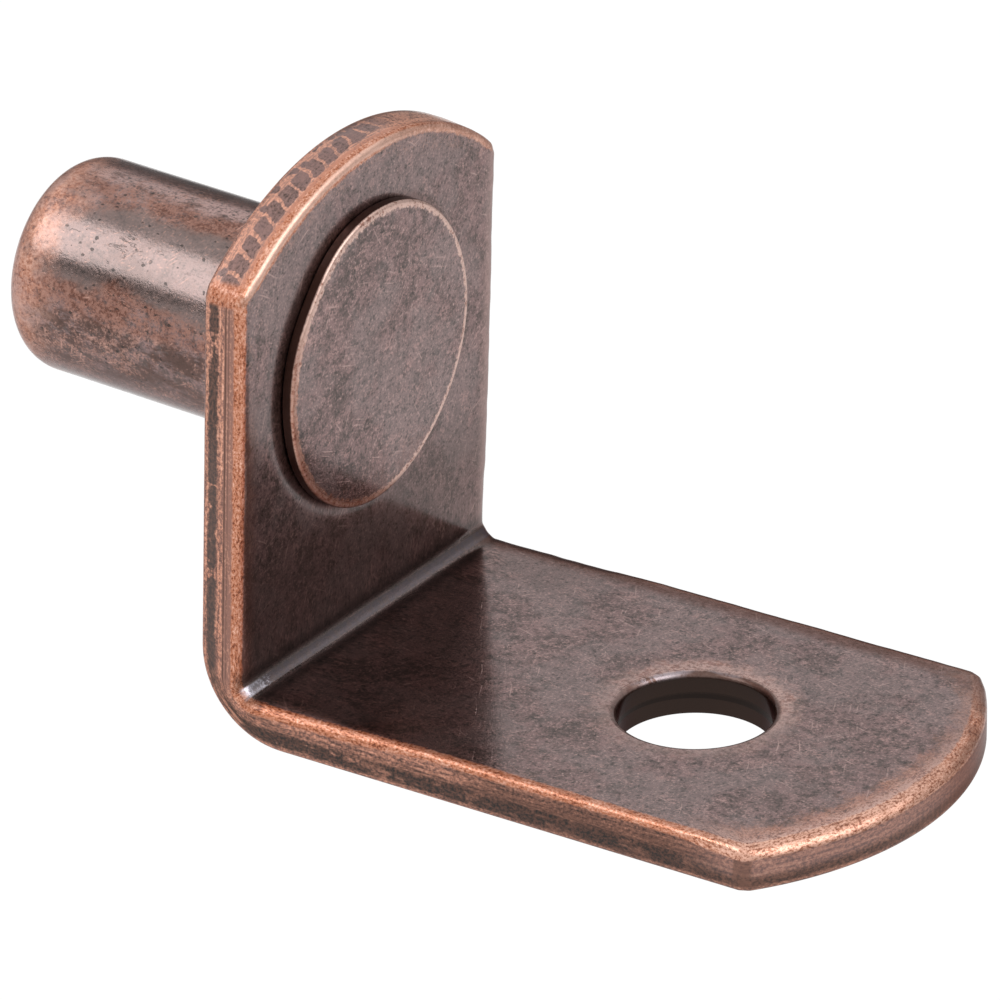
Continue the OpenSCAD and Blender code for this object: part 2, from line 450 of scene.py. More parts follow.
# How the hammered head is out of round: number of lobes, size and lean of each.
HEAD_LOBES = ((1, 0.010, 2.4), (2, 0.024, 1.83), (3, 0.009, 2.2), (5, 0.003, 1.1))
head_shrink = 0.008      # what the lobes leave off its radius, as a share
DENT = (0.034, 2.42, 0.3)  # a dent in its rim: share of the radius, bearing and width


def quarter(centre_x, centre_r, r, start, end, steps):
    """Arc of radius r from bearing start to end, in quarter turns from -X towards outwards."""
    a = np.linspace(start, end, steps + 1) * np.pi / 2
    return np.stack([centre_x - r * np.cos(a), centre_r + r * np.sin(a)], -1)


def straight(start, end, steps):
    """Line from start to end in even steps."""
    return lerp(np.array(start), np.array(end), np.linspace(0, 1, steps + 1)[:, None])


def make_pin():
    """The pin, its tenon and its head: one profile turned about the axis, whose centre rises and
    whose roundness is lost towards the head, because the head was hammered out. The radius is
    multiplied by 1, a few cosines of the bearing and a bell-shaped dent, all growing with its cube."""
    head_back = strip_t
    seat = head_r - head_back_r
    rim = head_r - head_rim_r
    stretches = [
        straight((-pin_l, 0), (-pin_l, pin_r - pin_end_r), 14),
        quarter(-pin_l + pin_end_r, pin_r - pin_end_r, pin_end_r, 0, 1, 20)[1:],
        straight((-pin_l + pin_end_r, pin_r), (0, pin_r), 60)[1:],
        straight((0, pin_r), (0, tenon_r), 3)[1:],
        straight((0, tenon_r), (head_back, tenon_r), 3)[1:],
        straight((head_back, tenon_r), (head_back, seat), 6)[1:],
        quarter(head_back + head_back_r, seat, head_back_r, 0, 1, 3)[1:],
        straight((head_back + head_back_r, head_r), (head_front - head_rim_r, head_r), 5)[1:],
        quarter(head_front - head_rim_r, rim, head_rim_r, 1, 2, 8)[1:],
        straight((head_front, rim), (head_front, 0), FACE_STEPS)[1:],
    ]
    profile = np.concatenate(stretches)
    x, r = profile.T
    walk = distances(profile)
    dome = head_dome * np.where(x > head_back, np.minimum(r / rim, 1) ** 4, 0)
    x = x - dome * (x - head_back) / (head_front - head_back)
    spread = np.clip((x - head_back / 2) / (head_back / 2), 0, 1)[:, None]
    turn = np.linspace(0, 2 * np.pi, TURN_STEPS + 1)[:-1]
    lobes = sum(size * np.cos(count * (turn - lean)) for count, size, lean in HEAD_LOBES)
    dent, bearing, width = DENT
    lobes = lobes - head_shrink - dent * np.exp(-((turn - bearing) / width) ** 2)
    radius = r[:, None] * (1 + spread * lobes * np.minimum(r / head_r, 1)[:, None] ** 3)
    y = radius * np.cos(turn)
    z = radius * np.sin(turn) + head_rise * spread
    points = stacked(x[:, None], y, z)
    skin = Skin()
    skin.add(points, stacked(pin_r * turn, walk[:, None], y), points, closed=True)
    return skin.mesh("riveted_pin"), walk[-FACE_STEPS - 1]


bracket_piece, fold_path = make_bracket()
pin_piece, face_walk = make_pin()


# --- Shader maths ---------------------------------------------------------------------------------
def operator(operation):
    """A method that puts a Value and the others through a Math node."""
    return lambda self, *others: self.math(operation, *others)


class Value:
    """A socket of a material's tree, so that shader maths is written as an expression."""

    def __init__(self, shader, socket):
        self.shader, self.socket = shader, socket

    def math(self, operation, *others):
        """A Math node on this value and others."""
        return self.shader.node("Math", {"operation": operation}, dict(enumerate((self, *others))))

    __add__ = __radd__ = operator("ADD")
    __mul__ = __rmul__ = operator("MULTIPLY")
    __sub__, __truediv__, __pow__ = operator("SUBTRACT"), operator("DIVIDE"), operator("POWER")
    __abs__, most = operator("ABSOLUTE"), operator("MAXIMUM")

    def __rsub__(self, other):
        return self.shader.node("Math", {"operation": "SUBTRACT"}, {0: other, 1: self})

    def rise(self, low, high):
        """0 up to low, 1 from high, and smooth between; falls if low is above high."""
        if low > high:
            return 1 - self.rise(high, low)
        sockets = {"Value": self, "From Min": low, "From Max": high}
        return self.shader.node("MapRange", {"interpolation_type": "SMOOTHSTEP"}, sockets)

    def band(self, centre, half, soft):
        """1 within half of the centre, 0 from soft further out."""
        return abs(self - centre).rise(half + soft, half)

    def outs(self, names):
        """Other outputs of the node that this value comes from."""
        return [Value(self.shader, self.socket.node.outputs[name]) for name in names]

    def parts(self):
        """The three numbers of a place."""
        return self.shader.node("SeparateXYZ", None, {"Vector": self}).outs(range(3))

    def stretch(self, by, move=(0, 0, 0)):
        """A place scaled along each axis, then moved."""
        return self.shader.node("VectorMath", {"operation": "MULTIPLY_ADD"}, {0: self, 1: by, 2: move})

    def along(self, direction):
        """How far a place lies along a direction."""
        settings = {"operation": "DOT_PRODUCT"}
        return self.shader.node("VectorMath", settings, {0: self, 1: direction}, out="Value")

    def noise(self, scale, detail, rough, out=0):
        """Noise about 0.5 over a place, with scale lumps to the unit."""
        sockets = {"Vector": self, "Scale": scale, "Detail": detail, "Roughness": rough}
        return self.shader.node("TexNoise", None, sockets, out)

    def drawn(self, by, detail, rough, scale=1.0, move=(0, 0, 0)):
        """Noise over a place, with lumps that are drawn out along an axis where by is small."""
        return self.stretch(by, move).noise(scale, detail, rough)

    def cells(self, kind="2D"):
        """Scattered cells: how far a place is from its cell's middle, and a number drawn for the cell."""
        sockets = {"Vector": self, "Scale": 1.0}
        away = self.shader.node("TexVoronoi", {"voronoi_dimensions": kind}, sockets, out="Distance")
        return away, away.outs(["Color"])[0].parts()[0]

    def ramp(self, *stops):
        """The colour that a ramp gives to a value, from stops of a place and a colour each."""
        return self.shader.node("ValToRGB", {"stops": stops}, {0: self})

    def bump(self, depth):
        """A normal bent by a height from 0 to 1 that stands for depth millimetres."""
        return self.shader.node("Bump", None, {"Height": self, "Strength": 1.0, "Distance": depth * MM})


class Shader:
    """The tree of nodes of a material or of the world."""

    def __init__(self, owner):
        owner.use_nodes = True
        self.owner, self.tree = owner, owner.node_tree
        self.tree.nodes.clear()

    def node(self, kind, settings=None, sockets=None, out=0):
        """Makes a node. Its settings come first, then the values or links of its sockets."""
        made = self.tree.nodes.new("ShaderNode" + kind)
        for key, value in (settings or {}).items():
            if key == "stops":
                self.set_stops(made.color_ramp.elements, value)
            else:
                setattr(made, key, value)
        for key, value in (sockets or {}).items():
            if isinstance(value, Value):
                self.tree.links.new(value.socket, made.inputs[key])
            else:
                made.inputs[key].default_value = value
        return Value(self, made.outputs[out]) if made.outputs else None

    def set_stops(self, ramp, stops):
        """Gives a ramp its stops, each a place from 0 to 1 and a colour."""
        while len(ramp) < len(stops):
            ramp.new(0.5)
        for stop, (at, colour) in zip(ramp, stops):
            stop.position, stop.color = at, (*colour, 1)

    def place(self, attribute=None):
        """The object's coordinates in millimetres, or one of the piece's own place attributes."""
        if attribute:
            return self.node("Attribute", {"attribute_name": attribute}, out="Vector")
        return self.node("TexCoord", out="Object").stretch((1 / MM,) * 3)

    def finish(self, fixed, **varying):
        """Sets the surface: fixed values straight on its sockets, varying ones linked."""
        sockets = {**fixed, **{key.replace("_", " "): value for key, value in varying.items()}}
        surface = self.node("BsdfPrincipled", None, sockets)
        self.node("OutputMaterial", None, {"Surface": surface})
        return self.owner


def mix(a, b, share):
    """The colour that is share of the way from a to b. Constants are mixed here and now."""
    shader = next((part.shader for part in (a, b, share) if isinstance(part, Value)), None)
    if not shader:
        return tuple(lerp(p, q, share) for p, q in zip(a, b))
    a, b = (colour if isinstance(colour, Value) else (*colour, 1) for colour in (a, b))
    return shader.node("Mix", {"data_type": "RGBA"}, {0: share, 6: a, 7: b}, out=2)


def layered(colour, *layers):
    """A colour under layers, each a pair: another colour, and the share of it that covers."""
    for cover, share in layers:
        colour = mix(colour, cover, share)
    return colour


# --- Finishes -------------------------------------------------------------------------------------
# Colours of the metal under its lacquer, from the black that the rubbing never reached to clean copper.
BLACK = (0.014, 0.011, 0.009)
SLATE = (0.100, 0.073, 0.066)
MAUVE = (0.262, 0.166, 0.160)
PALE = (0.500, 0.345, 0.315)
ROSE = (0.400, 0.195, 0.150)
BROWN = (0.110, 0.046, 0.030)
DUSK = (0.255, 0.130, 0.105)
RUST = (0.240, 0.110, 0.075)
DARK_RED = (0.170, 0.040, 0.016)
ORANGE = (0.500, 0.170, 0.078)
TAN = (0.620, 0.285, 0.185)
BLUSH = (0.880, 0.510, 0.380)
HOLLOW = (0.085, 0.070, 0.082)
GREY = (0.225, 0.188, 0.182)
PINK = (0.470, 0.290, 0.265)
GLEAM = (0.930, 0.660, 0.550)
LIP_GLINT = (0.34, 0.30, 0.33)        # painted glint on the screw hole's lip
HOLLOW_GLINT = (0.70, 0.66, 0.74)     # painted glint at the near end of the fold's hollow
GRAZING_TINT = (0.45, 0.38, 0.38, 1)  # the tarnish dulls what the metal reflects at a low angle
LACQUER = {"Metallic": 1.0, "Specular Tint": GRAZING_TINT, "Coat Roughness": 0.15}
lacquer_weight = 0.65

# Leans of the scratches on a flat face and on the shank, in radians.
FACE_LEANS = (0.35, 2.1, 1.1)
PIN_LEANS = ((0.2, 0.3, 0.35), (0.4, 1.3, 2.1), (1.1, 0.2, 1.25), (0.7, 0.8, 0.1))
# Patterns are moved off the noise's origin, where it is regular.
FACE_MOVE, EDGE_MOVE = (31.7, 17.3, 5.1), (41.3, 12.7, 0)


def strokes(place, leans, length, width, share, kind="2D"):
    """Short scratches that bend a little: cells drawn out along each lean, of which a share has one
    stroke through its middle. Sizes are millimetres. In 3D a lean is about all three axes."""
    marks = 0.0
    place = place.noise(0.8, 1.0, 0.5, out="Color").stretch((0.25, 0.25, 0.25), move=place)
    for number, lean in enumerate(leans):
        sockets = {"Vector": place, "Rotation": lean if kind == "3D" else (0, 0, lean)}
        turned = place.shader.node("VectorRotate", {"rotation_type": "EULER_XYZ"}, sockets)
        by, move = (1 / length, 1 / width, 1 / width), (7.3 * number, 3.1 * number, 0)
        away, chance = turned.stretch(by, move).cells(kind)
        marks = (away.rise(0.40, 0.10) * chance.rise(1 - share, 1)).most(marks)
    return marks


def tumbled_face(place):
    """A darkened face after tumbling: slate and mauve clouds, mottle, rosy smears, grain and a few
    scratches and flecks. Returns its colour and the height of its grain."""
    place = place.stretch((1, 1, 1), FACE_MOVE)
    clouds = place.noise(0.45, 3.0, 0.6)
    patches = place.noise(1.5, 5.0, 0.75)
    mottle = place.noise(5.0, 4.0, 0.78)
    grain = place.noise(12.0, 2.0, 0.7)
    smears = place.drawn((0.8, 1.5, 1.2), 5.0, 0.8).rise(0.53, 0.66)
    scratches = strokes(place, FACE_LEANS, 1.3, 0.075, 0.07)
    away, chance = place.stretch((3.4, 3.4, 0)).cells()
    flecks = away.rise(0.15, 0.05) * chance.rise(0.86, 1.0)
    colour = layered(
        mix(SLATE, MAUVE, (clouds * 0.15 + patches * 0.35 + mottle * 0.50).rise(0.40, 0.56)),
        (GREY, clouds.rise(0.42, 0.58) * 0.40),
        (BLACK, (mottle * 0.4 + grain * 0.6).rise(0.48, 0.32) * 0.80),
        (PALE, (grain * 0.7 + mottle * 0.3).rise(0.53, 0.66) * 0.60),
        (PINK, smears * (mottle * 0.5 + grain * 0.5).rise(0.44, 0.56) * 0.60),
        (PALE, (scratches * patches.rise(0.42, 0.56)).most(flecks) * 0.8))
    return colour, grain * 0.7 + mottle * 0.3 + scratches * 0.3


def copper_colour(place, shift):
    """Rubbed copper and its grain: dark red pits, orange, tan and blushing high spots."""
    broad = (place.noise(1.5, 3.0, 0.6) - 0.5) * 0.40
    grain = place.noise(8.0, 3.0, 0.78) + broad + shift
    return grain.ramp((0.35, DARK_RED), (0.44, ORANGE), (0.55, TAN), (0.68, BLUSH)), grain


def bracket_places(shader):
    """What the bracket's finishes go by, in one namespace: places in millimetres, patterns on the
    strip's edge, and the shares from 0 to 1 that mark each part of the bracket."""
    edge, sheet, spot = shader.place("edge"), shader.place("sheet"), shader.place()
    at = SimpleNamespace(sheet=sheet, edge=edge.stretch((1, 1, 0), EDGE_MOVE))
    at.run, at.fall, _ = edge.parts()
    at.path, _, at.depth = sheet.parts()
    at.x, at.y, at.z = spot.parts()
    at.inward = 0 - at.fall
    at.along_arm = at.path - (fold_path - seam)
    at.from_screw = ((at.along_arm - screw_at) ** 2 + at.y * at.y) ** 0.5 - (screw_r - mouth_close)
    at.from_head = ((at.z - head_rise) ** 2 + at.y * at.y) ** 0.5 - head_r
    at.from_fold = abs(at.path - fold_path / 2)

    at.ragged = at.edge.drawn((5.0, 6.0, 0), 4.0, 0.75) - 0.5
    at.wander = at.edge.drawn((0.7, 1.2, 0), 5.0, 0.72) - 0.5
    at.side_grain = at.edge.drawn((8.0, 11.0, 0), 3.0, 0.78)
    at.lumps = at.edge.drawn((0.9, 0.4, 0), 4.0, 0.7)
    at.creases = sheet.drawn((1.2, 4.5, 1.0), 4.0, 0.7)

    at.tip = at.along_arm.rise(arm_l - 5.0, arm_l - 2.2)
    at.crown = at.z.rise(3.9, 4.3)
    at.off_crown = 1 - at.crown
    at.on_leg = at.path.rise(2.0, 0.5)
    at.off_leg = 1 - at.on_leg
    at.far = at.y.rise(4.3, 5.5)
    at.in_front = at.fall.rise(strip_t + 0.28, strip_t + 0.04)
    at.near_fold = at.along_arm.rise(8.0, 5.0) * at.off_leg
    at.toward_tip = at.along_arm.rise(4.0, 14.0)

    # The rolled edge that is rubbed to copper, and the side below it.
    shift = at.crown * 0.03 + at.tip * 0.02 - at.on_leg * at.off_crown * 0.015 - at.near_fold * 0.03 - 0.01
    at.copper, at.copper_grain = copper_colour(at.edge.stretch((1.1, 1.4, 0)), shift)
    at.keep = (1 - 0.85 * at.far * at.off_crown) * at.in_front
    wider = (at.along_arm.rise(4.0, 8.0) * 0.16 + 0.03) * at.off_leg
    wider = wider + at.crown * (0.22 - 0.12 * at.y.rise(-1.0, 2.0))
    at.rubbed = (at.inward + at.ragged * 0.28 + at.wander * 0.14 - wider).rise(0.27, 0.17) * at.keep
    on_arm = at.along_arm.rise(4.5, 8.0) * (1 - at.tip) * at.off_leg
    higher = at.ragged * 0.12 + at.wander * 0.10 + at.on_leg * 0.05 + at.crown * 0.10 + on_arm * 0.22
    at.side = (at.fall + higher).rise(0.27, 0.35) * at.in_front
    on_far = at.far * at.off_crown * at.off_leg * at.in_front * (1 - 0.5 * at.tip)
    at.brown_edge = (at.inward + at.ragged * 0.4 + at.wander * 0.6).rise(1.15, 0.50) * on_far

    # The screw hole's lip and wall, the fold's hollow, and the groove round the riveted head, where shade is
    # painted.
    in_hole = at.along_arm.rise(6.0, 7.0)
    at.lip = (at.from_screw + at.ragged * 0.14).rise(0.22, 0.10) * in_hole
    at.wall = at.depth.rise(0.10, 0.20) * at.from_screw.rise(0.4, 0.3) * in_hole
    at.on_top = at.depth.rise(0.3, 0.1)
    at.hollow = (at.from_fold + at.ragged * 0.15).rise(0.60, 0.38) * at.on_top * at.inward.rise(-0.1, 0.3)
    on_front = at.x.rise(strip_t + 0.4, strip_t + 0.2) * at.x.rise(strip_t - 0.2, strip_t - 0.1)
    at.near_head = abs(at.from_head).rise(0.30, 0.05) * on_front
    return at


def face_wear(at):
    """Layers over the faces: the worn tip, rust and specks beside the rolled edge, painted shade over
    the leg that deepens at its foot, a painted highlight along the leg's far edge, and a strip of
    painted shade and a brown edge on the far side of the arm."""
    ragged, wander, copper_grain = at.ragged, at.wander, at.copper_grain
    worn_by = at.inward + wander * 2.4 + ragged * 0.8 + at.y.rise(-1.0, 4.0) * 0.5
    worn_tip = at.tip * at.in_front * worn_by.rise(1.6, 0.4)
    bright = copper_grain.rise(0.40, 0.56) * at.inward.rise(1.1, 0.4) * 0.9
    worn = layered(
        mix(at.copper, ROSE, 0.3),
        (mix(PINK, GLEAM, 0.4), bright),
        (RUST, at.y.rise(-2.0, 4.0) * 0.45))
    fringe = (at.inward + ragged * 0.3 + wander * 0.5).rise(0.95, 0.30) * at.on_leg * at.z.rise(2.0, -1.0)
    specks = copper_grain.rise(0.52, 0.60) * (at.inward + wander * 1.5).rise(1.1, 0.4) * at.keep
    # painted highlight: a paler band along the leg's far edge
    far_edge_highlight = at.y.rise(5.5, 6.15) * at.on_leg * at.off_crown
    # painted shade: a darker strip along the arm's far side near the fold
    far_strip_shade = (at.y + wander * 2.0).rise(2.6, 5.4) * at.along_arm.rise(8.5, 4.5) * at.off_leg
    # the colour of the painted shade on the leg and on the arm's far strip
    soot_and_shade = mix(BLACK, BROWN, 0.5)
    return [(worn, worn_tip * (0.30 + 0.60 * copper_grain.rise(0.36, 0.54))),
            (mix(RUST, DARK_RED, 0.3), fringe * at.keep * 0.6),
            # painted shade over the leg, deepest at its foot near the fold
            (soot_and_shade, at.on_leg * (0.07 + 0.36 * at.z.rise(-2.8, -5.5))),
            (mix(TAN, PALE, 0.5), specks * (0.30 + 0.25 * at.near_fold)),
            # painted highlight on the leg's far edge
            (PALE, far_edge_highlight * 0.5),
            # painted shade on the arm's far strip
            (soot_and_shade, far_strip_shade * 0.28),
            (mix(BROWN, mix(BLACK, RUST, ragged + 0.5), 0.5), at.brown_edge * 0.62)]


def rolled_edge(at):
    """Colour of the rubbed roll: copper that gleams along the crown and at the tip, duller far off, and
    a pale band painted as highlight along the crown's roll.
    """
    # partly rubbed copper, partly painted highlight: a pale band where the crown's highlight falls
    burnish_and_highlight = at.inward.band(0.20, 0.10, 0.10) * at.crown
    gleaming = mix(RUST, mix(GLEAM, BLUSH, 0.6), at.copper_grain.rise(0.40, 0.56))
    duller = (at.tip * 0.5).most(at.crown * 0.2) * at.y.rise(-1.5, 3.5) * (at.wander + 0.5).rise(0.6, 0.4)
    return layered(
        at.copper,
        # painted highlight on the crown's roll
        (GLEAM, burnish_and_highlight * 0.6 * (1 - 0.6 * at.y.rise(0.0, 3.0))),
        (gleaming, at.tip * (0.5 - 0.35 * at.y.rise(-1.0, 3.0))),
        (BROWN, duller))


def leg_side(at, pink, tone, soot):
    """The leg's side: dusky streaks, two grooves, a pink stripe, a column of soot, a rubbed back edge."""
    stripe = (at.fall + at.ragged * 0.06).rise(0.55, 0.61)
    half_width = 0.16 - at.lumps.rise(0.52, 0.68) * 0.20
    sway = abs(at.fall - 0.935 + (at.lumps - 0.5) * 0.14 + at.wander * 0.08)
    column = (half_width - sway + at.ragged * 0.22).rise(-0.04, 0.06)
    groove_place = at.fall + at.ragged * 0.02
    grooves = groove_place.band(0.535, 0.012, 0.025).most(groove_place.band(0.43, 0.008, 0.02) * 0.6)
    return layered(
        mix(DUSK, TAN, 0.15),
        (pink, stripe * 0.8 + tone.rise(0.50, 0.58) * 0.5),
        (mix(soot, SLATE, 0.6 - 0.4 * at.z.rise(-1.5, 1.0)), column * 0.92),
        (BROWN, grooves * at.lumps.rise(0.75, 0.50) * 0.9))


def arm_side(at, pink, dull, soot):
    """The arm's side: pink streaks that brown towards the tip, and soot blotches along its lower part."""
    streaky = ((at.wander + 0.5).rise(0.42, 0.62) * 0.6 + 0.38) * (1 - 0.75 * at.toward_tip)
    blots = at.edge.drawn((0.8, 1.6, 0), 4.0, 0.7).rise(0.38, 0.52)
    lower = (at.fall + at.ragged * 0.26 + at.wander * 0.40).rise(0.55, 0.78)
    lower = lower * (at.fall + at.ragged * 0.1).rise(1.16, 1.06)
    return layered(
        mix(dull, pink, streaky),
        (BROWN, at.toward_tip * (at.fall + at.ragged * 0.3).rise(0.15, 0.6) * 0.5),
        (soot, lower * blots * (0.95 - 0.3 * at.tip)),
        (mix(pink, MAUVE, 0.5), at.tip * at.fall.rise(1.0, 0.7) * 0.7),
        (mix(RUST, BROWN, 0.3), at.tip * at.y.rise(-3.0, 3.0) * 0.6))


def crown_side(at, pink):
    """The crown's side is chattered: a row of slanting dark cells parted by rubbed ribs, and dots
    towards the back. A cell is a rounded box: the sum of high powers of the way from its middle."""
    pitch, half_cell, half_height = 0.66, 0.415, 0.31
    wobble = at.edge.drawn((1.3, 2.0, 0), 3.0, 0.6) - 0.5
    place_in_pitch = (at.run + at.fall * 0.34 + wobble * 0.50) / pitch
    away_along = abs(place_in_pitch.math("FRACT") - 0.5) * (1 / half_cell)
    away_across = abs(at.fall - 0.62 - 0.14 * at.y.rise(-1.5, 1.5) + wobble * 0.30) * (1 / half_height)
    cell = (away_along ** 7 + away_across ** 6 + at.ragged * 1.3 + at.wander * 0.9).rise(1.10, 0.55)
    cell = cell * (1 - at.y.rise(2.4, 4.4) * (at.wander + 0.5).rise(0.35, 0.50))
    away, chance = at.edge.stretch((2.6, 3.2, 0)).cells()
    dots = (away + at.ragged * 0.35).rise(0.50, 0.34) * chance.rise(0.48, 0.55)
    dots = dots * at.fall.band(1.02, 0.12, 0.06)
    cell_tone = (at.side_grain * 0.6 + at.lumps * 0.4).rise(0.34, 0.54)
    cell_colour = mix(BLACK, mix(SLATE, MAUVE, 0.8), cell_tone)
    reddish = mix(ORANGE, DARK_RED, at.copper_grain.rise(0.50, 0.40))
    rust_grain = (at.copper_grain * 0.5 + at.side_grain * 0.5).rise(0.43, 0.52)
    rusty = mix(BROWN, mix(ORANGE, BLUSH, 0.6), rust_grain)
    return layered(
        pink,
        (reddish, at.fall.band(0.20, 0.05, 0.05) * 0.8),
        (mix(BLUSH, PINK, 0.3), 0.35),
        (cell_colour, (cell * 0.85).most(dots * 0.9)),
        (rusty, at.y.rise(0.5, 2.5) * 0.75),
        (BROWN, (at.fall + at.ragged * 0.2).rise(0.95, 1.15) * at.y.rise(-2.0, 1.0) * 0.8))


def strip_sides(at):
    """The sheared side of the leg, the crown and the arm, with long streaks and grain. It is rubbed
    through its whole thickness where the corners of the strip's ends were cut flat."""
    streaks = at.edge.drawn((0.5, 10.0, 0), 3.0, 0.65)
    tone = streaks * 0.40 + at.side_grain * 0.60
    pink = tone.ramp((0.38, BROWN), (0.46, DUSK), (0.53, TAN), (0.66, BLUSH))
    dull = (tone + at.wander * 0.16).ramp((0.38, BLACK), (0.45, BROWN), (0.56, RUST), (0.66, TAN))
    soot = mix(BLACK, BROWN, at.side_grain.rise(0.40, 0.60))
    straight_sides = mix(arm_side(at, pink, dull, soot), leg_side(at, pink, tone, soot), at.on_leg)
    near_corner = (0 - at.y).rise(5.4, 6.0)
    leg_corner = abs(at.z - (leg_h + corner_z - 2.55)).rise(0.36, 0.22) * near_corner
    tip_corner = abs(at.along_arm - (arm_l - 2.45)).rise(0.30, 0.20) * near_corner
    soot_and_shade = (at.ragged + 0.5).rise(0.50, 0.62) * 0.6
    low_edge = (at.fall + at.ragged * 0.12).rise(strip_t - 0.20, strip_t - 0.10)
    return layered(
        straight_sides,
        (crown_side(at, pink), at.crown),
        (at.copper, leg_corner * 0.9),
        (mix(mix(BROWN, RUST, 0.45), BLACK, soot_and_shade), tip_corner * 0.75),
        (mix(pink, dull, 0.2 + 0.4 * at.toward_tip), low_edge * 0.85))


def screw_hole(at):
    """Layers at the screw hole: the face rubbed round its mouth, most on the far side, the lip with
    painted glints at the near and far ends, and the dark wall."""
    patchy = at.sheet.noise(1.4, 5.0, 0.75)
    mottled = at.sheet.noise(6.0, 3.0, 0.75)
    far_side = at.y.rise(-1.8, 2.6)
    halo = (at.from_screw + (patchy - 0.5) * 2.0).rise(1.0, 0.25) * (0.35 + 0.65 * far_side)
    halo_share = (patchy * 0.5 + mottled * 0.5).rise(0.42, 0.52)
    from_middle = at.along_arm - screw_at
    near_end = (from_middle * -0.85 + at.y * 0.53) * (1 / screw_r)
    far_end = (from_middle * -0.15 + at.y * 0.99) * (1 / screw_r)
    # painted glint: brighter patches on the lip where the lamp's highlight falls
    glint = near_end.rise(0.90, 1.0).most(far_end.rise(0.985, 1.01) * 0.4)
    glint = glint * (patchy + at.ragged * 0.3).rise(0.40, 0.50)
    return [(mix(ROSE, mix(PINK, GLEAM, 0.3), halo_share),
             halo * (0.50 + 0.40 * mottled.rise(0.42, 0.56))),
            (mix(mix(BLACK, BROWN, 0.6), LIP_GLINT, glint), at.lip * (0.35 + 0.55 * far_side)),
            (mix(BLACK, BROWN, 0.16), at.wall)]


def fold_hollow(at):
    """Layers at the fold: painted shade either side, and the hollow that the bending tool polished,
    with a painted glint at its near end."""
    # painted shade: darkening either side of the fold's hollow
    fold_side_shade = at.from_fold.band(0.85, 0.42, 0.20) * at.on_top
    # painted glint: a bright steel-grey patch at the near end of the hollow
    hollow_glint = (at.y + at.ragged * 3.0).rise(-5.1, -5.5) * at.hollow
    hollow_glint = hollow_glint * (0.3 + 0.7 * at.creases.rise(0.40, 0.56))
    return [(BLACK, fold_side_shade * 0.45),
            (mix(HOLLOW, SLATE, at.creases.rise(0.52, 0.42) * 0.6), at.hollow * 0.8),
            (HOLLOW_GLINT, hollow_glint * 0.6)]


def bracket_finish():
    """Both faces, the rubbed edges, the sheared sides, the mouth of the hole, the fold and the shade painted
    round the head.
    """
    shader = Shader(bpy.data.materials.new("antique_copper_bracket"))
    at = bracket_places(shader)
    face, height = tumbled_face(at.sheet)
    colour = layered(
        face,
        *face_wear(at),
        (rolled_edge(at), at.rubbed),
        (strip_sides(at), at.side),
        *screw_hole(at),
        *fold_hollow(at),
        # painted shade: brown in the groove where the leg's front meets the riveted head
        (BROWN, at.near_head * at.near_head * 0.25))

    roll_on_arm = at.rubbed * at.off_leg * (1 - at.tip)
    roughness = 0.19 + at.on_leg * 0.11 + at.near_head * 0.05 + roll_on_arm * 0.26 + at.side * 0.16
    roughness = roughness + at.lip * 0.20 + at.rubbed * at.crown * 0.14 - at.hollow * 0.06
    roughness = roughness + at.on_leg * at.z.rise(-1.5, -4.5) * 0.10
    roughness = roughness.most(at.tip * (at.inward + at.wander).rise(0.8, 0.1) * 0.40)
    dulled = (at.brown_edge * 0.6).most(at.tip * at.side * at.y.rise(-2.0, 2.0) * 0.7)
    lacquer = lacquer_weight * (1 - 0.7 * at.wall) * (1 - dulled)
    normal = (height + at.creases * at.hollow * 1.6).bump(0.005)
    return shader.finish(LACQUER, Base_Color=colour, Roughness=roughness, Coat_Weight=lacquer, Normal=normal)


